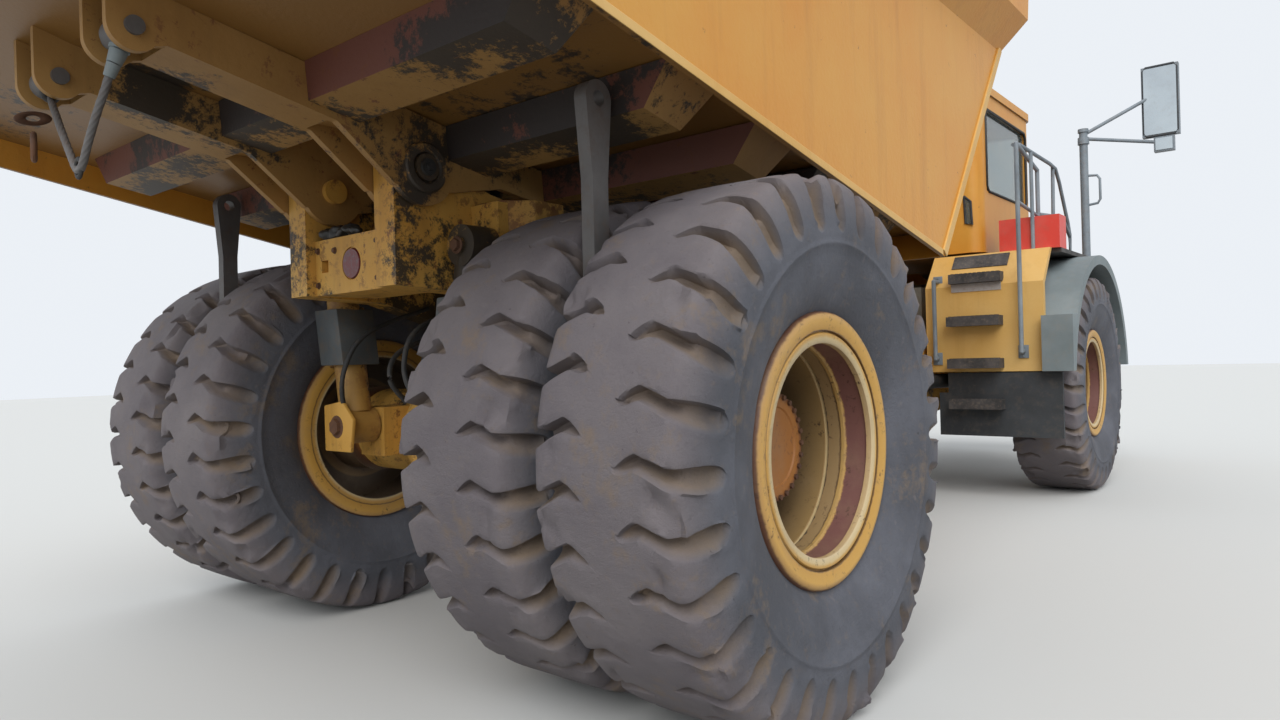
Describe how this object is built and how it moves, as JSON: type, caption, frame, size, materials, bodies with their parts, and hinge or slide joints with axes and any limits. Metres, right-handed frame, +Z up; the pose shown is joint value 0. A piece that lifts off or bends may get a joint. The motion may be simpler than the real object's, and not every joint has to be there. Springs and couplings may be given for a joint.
{
  "type": "articulated dump truck",
  "caption": "Two-axle articulated dump truck with twin rear tyres, centre pivot steering and a tipping bed.",
  "frame": {"origin": "on the ground under the middle of the truck's bounding box", "axes": "+Z up, the truck faces -Y, +X is its left side"},
  "size_m": [4.86, 11.8, 4.28],
  "materials": {
    "paint": "worn yellow-orange paint",
    "underside_paint": "dirty ochre paint",
    "rim_paint": "chipped ochre paint with rust",
    "tyre": "worn dusty rubber",
    "plastic": "grey moulded plastic",
    "strut": "grimy paint",
    "steel": "weathered grey steel",
    "tread_steel": "black grip tread",
    "engine": "painted casting",
    "red_paint": "red paint",
    "glass": "clear",
    "cylinder": "black paint",
    "chrome_rod": "polished"
  },
  "bodies": {
    "rear_frame": {"rear_frame": "paint", "rear_axle": "paint", "rear_struts": "strut", "rear_propshaft": "steel", "tail_beam": "paint"},
    "hitch": {"hitch_tube": "underside_paint"},
    "front_unit": {"front_frame": "paint", "tow_lug": "paint", "engine_block": "engine", "front_axle": "paint", "front_struts": "strut", "front_propshaft": "steel", "front_bumper": "plastic", "head_lamps": "glass", "cab_shell": "paint", "cab_roof": "paint", "cab_glass": "glass", "cab_interior": "plastic", "step_panel_left": "paint", "step_panel_right": "paint", "steps": "tread_steel", "lower_boxes": "plastic", "mudguard_left": "plastic", "mudguard_right": "plastic", "decks": "tread_steel", "handrails": "steel", "deck_box": "red_paint", "mirrors": "steel", "exhaust": "steel"},
    "cab_door": {"cab_door": "paint", "door_glass": "glass"},
    "bonnet": {"bonnet_shell": "paint", "grille": "plastic"},
    "bed": {"bed_tub": "paint", "bed_ribs": "underside_paint", "bed_beams": "underside_paint", "bed_rails": "paint", "sling_fittings": "steel", "sling": "steel"},
    "ejector_left": {"ejector_left": "steel"},
    "ejector_right": {"ejector_right": "steel"},
    "tip_barrels": {"tip_barrels": "cylinder"},
    "tip_stages": {"tip_stages": "chrome_rod"},
    "tip_rods": {"tip_rods": "chrome_rod"},
    "steer_barrel_left": {"steer_barrel_left": "cylinder"},
    "steer_barrel_right": {"steer_barrel_right": "cylinder"},
    "steer_rod_left": {"steer_rod_left": "chrome_rod"},
    "steer_rod_right": {"steer_rod_right": "chrome_rod"},
    "rear_wheel_left": {"rear_rim_left": "rim_paint", "rear_tyres_left": "tyre"},
    "rear_wheel_right": {"rear_rim_right": "rim_paint", "rear_tyres_right": "tyre"},
    "front_wheel_left": {"front_rim_left": "rim_paint", "front_tyre_left": "tyre"},
    "front_wheel_right": {"front_rim_right": "rim_paint", "front_tyre_right": "tyre"}
  },
  "joints": [
    {"name": "oscillation", "type": "hinge", "parent": "rear_frame", "child": "hitch", "pos_m": [0, -1.25, 1.18], "axis": [0, 1, 0], "range_deg": [-15, 15]},
    {"name": "steering", "type": "hinge", "parent": "hitch", "child": "front_unit", "pos_m": [0, -1.25, 1.18], "axis": [0, 0, 1], "range_deg": [-42, 42]},
    {"name": "tip", "type": "hinge", "parent": "rear_frame", "child": "bed", "pos_m": [0, 4.19, 2.3], "axis": [-1, 0, 0], "range_deg": [0, 50]},
    {"name": "tip_barrel", "type": "hinge", "parent": "rear_frame", "child": "tip_barrels", "pos_m": [0, 2.4, 0.96], "axis": [1, 0, 0], "range_deg": [-6, 0]},
    {"name": "tip_stage", "type": "slide", "parent": "tip_barrels", "child": "tip_stages", "axis": [0, 0.0532, 0.9986], "range_m": [0, 0.7611]},
    {"name": "tip_rod", "type": "slide", "parent": "tip_stages", "child": "tip_rods", "axis": [0, 0.0532, 0.9986], "range_m": [0, 0.7611]},
    {"name": "steer_barrel_left", "type": "hinge", "parent": "front_unit", "child": "steer_barrel_left", "pos_m": [0.665, -2.15, 1.12], "axis": [0, 0, 1], "range_deg": [-2, 2]},
    {"name": "steer_rod_left", "type": "slide", "parent": "steer_barrel_left", "child": "steer_rod_left", "axis": [-0.3283, 0.9446, 0], "range_m": [-0.2341, 0.2341]},
    {"name": "steer_barrel_right", "type": "hinge", "parent": "front_unit", "child": "steer_barrel_right", "pos_m": [-0.665, -2.15, 1.12], "axis": [0, 0, 1], "range_deg": [-2, 2]},
    {"name": "steer_rod_right", "type": "slide", "parent": "steer_barrel_right", "child": "steer_rod_right", "axis": [0.3283, 0.9446, 0], "range_m": [-0.2341, 0.2341]},
    {"name": "rear_wheel_left", "type": "hinge", "parent": "rear_frame", "child": "rear_wheel_left", "pos_m": [1.475, 3.55, 1.055], "axis": [1, 0, 0], "continuous": true},
    {"name": "rear_wheel_right", "type": "hinge", "parent": "rear_frame", "child": "rear_wheel_right", "pos_m": [-1.475, 3.55, 1.055], "axis": [1, 0, 0], "continuous": true},
    {"name": "front_wheel_left", "type": "hinge", "parent": "front_unit", "child": "front_wheel_left", "pos_m": [1.49, -2.9, 1.055], "axis": [1, 0, 0], "continuous": true},
    {"name": "front_wheel_right", "type": "hinge", "parent": "front_unit", "child": "front_wheel_right", "pos_m": [-1.49, -2.9, 1.055], "axis": [1, 0, 0], "continuous": true},
    {"name": "bonnet", "type": "hinge", "parent": "front_unit", "child": "bonnet", "pos_m": [0, -5.8, 1.33], "axis": [1, 0, 0], "range_deg": [0, 60]},
    {"name": "cab_door", "type": "hinge", "parent": "front_unit", "child": "cab_door", "pos_m": [0.955, -2.674, 2.38], "axis": [0, 0, 1], "range_deg": [0, 80]},
    {"name": "ejector_left", "type": "hinge", "parent": "bed", "child": "ejector_left", "pos_m": [1.475, 4.15, 2.4], "axis": [-1, 0, 0], "range_deg": [-25, 12]},
    {"name": "ejector_right", "type": "hinge", "parent": "bed", "child": "ejector_right", "pos_m": [-1.475, 4.15, 2.4], "axis": [-1, 0, 0], "range_deg": [-25, 12]}
  ],
  "couplings": [
    {"joint": "tip_barrel", "follows": "tip", "ratio": -0.11048},
    {"joint": "tip_stage", "follows": "tip", "m_per_rad": 0.86073},
    {"joint": "tip_rod", "follows": "tip", "m_per_rad": 0.86073},
    {"joint": "steer_barrel_left", "follows": "steering", "ratio": -0.01493},
    {"joint": "steer_barrel_right", "follows": "steering", "ratio": -0.01493},
    {"joint": "steer_rod_left", "follows": "steering", "m_per_rad": -0.30574},
    {"joint": "steer_rod_right", "follows": "steering", "m_per_rad": 0.30574}
  ]
}
